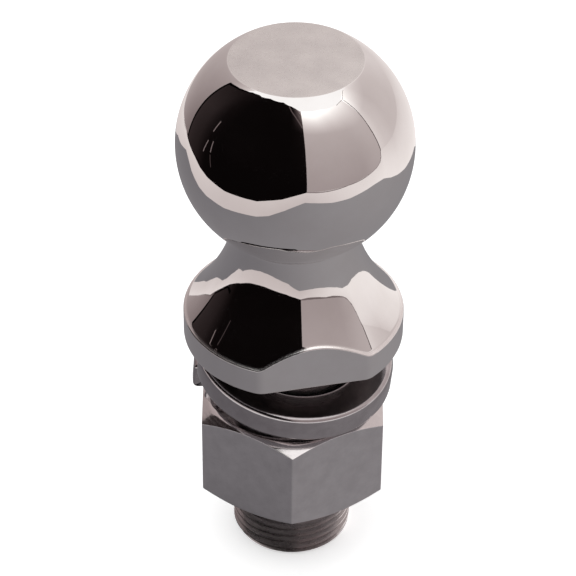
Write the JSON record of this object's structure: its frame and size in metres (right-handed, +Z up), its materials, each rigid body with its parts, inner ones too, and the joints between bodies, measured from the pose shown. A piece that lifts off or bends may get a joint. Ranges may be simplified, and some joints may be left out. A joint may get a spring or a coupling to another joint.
{
  "type": "threaded tow ball",
  "caption": "Trailer hitch ball with a flat top, flared flange with spanner flats and a threaded shank, fitted with its split spring washer and hexagon nut.",
  "frame": {"origin": "centre of the flange's underside, the seat that rests on the drawbar, on the shank's axis", "axes": "+Z up the stud's axis from the shank towards the ball; -Y faces the picture's camera"},
  "size_m": [0.0476, 0.0476, 0.121],
  "materials": {
    "mirror_chrome": "bright chrome plate, polished to a mirror on the ball, neck and flange",
    "plated_spring_steel": "plated spring steel, drawn surface with a soft sheen",
    "satin_plated_steel": "satin plated steel, rolled flats and turned chamfers"
  },
  "bodies": {
    "stud": {"ball_stud": "mirror_chrome"},
    "washer": {"lock_washer": "plated_spring_steel"},
    "nut": {"hex_nut": "satin_plated_steel"}
  },
  "joints": [
    {"name": "washer_travel", "type": "slide", "parent": "stud", "child": "washer", "axis": [0, 0, -1], "range_m": [-0.00152, 0.03811]},
    {"name": "nut_turn", "type": "hinge", "parent": "washer", "child": "nut", "pos_m": [0, 0, 0], "axis": [0, 0, -1], "range_deg": [-300, 7560]}
  ],
  "couplings": [
    {"joint": "washer_travel", "follows": "nut_turn", "m_per_rad": 0.00028875}
  ]
}
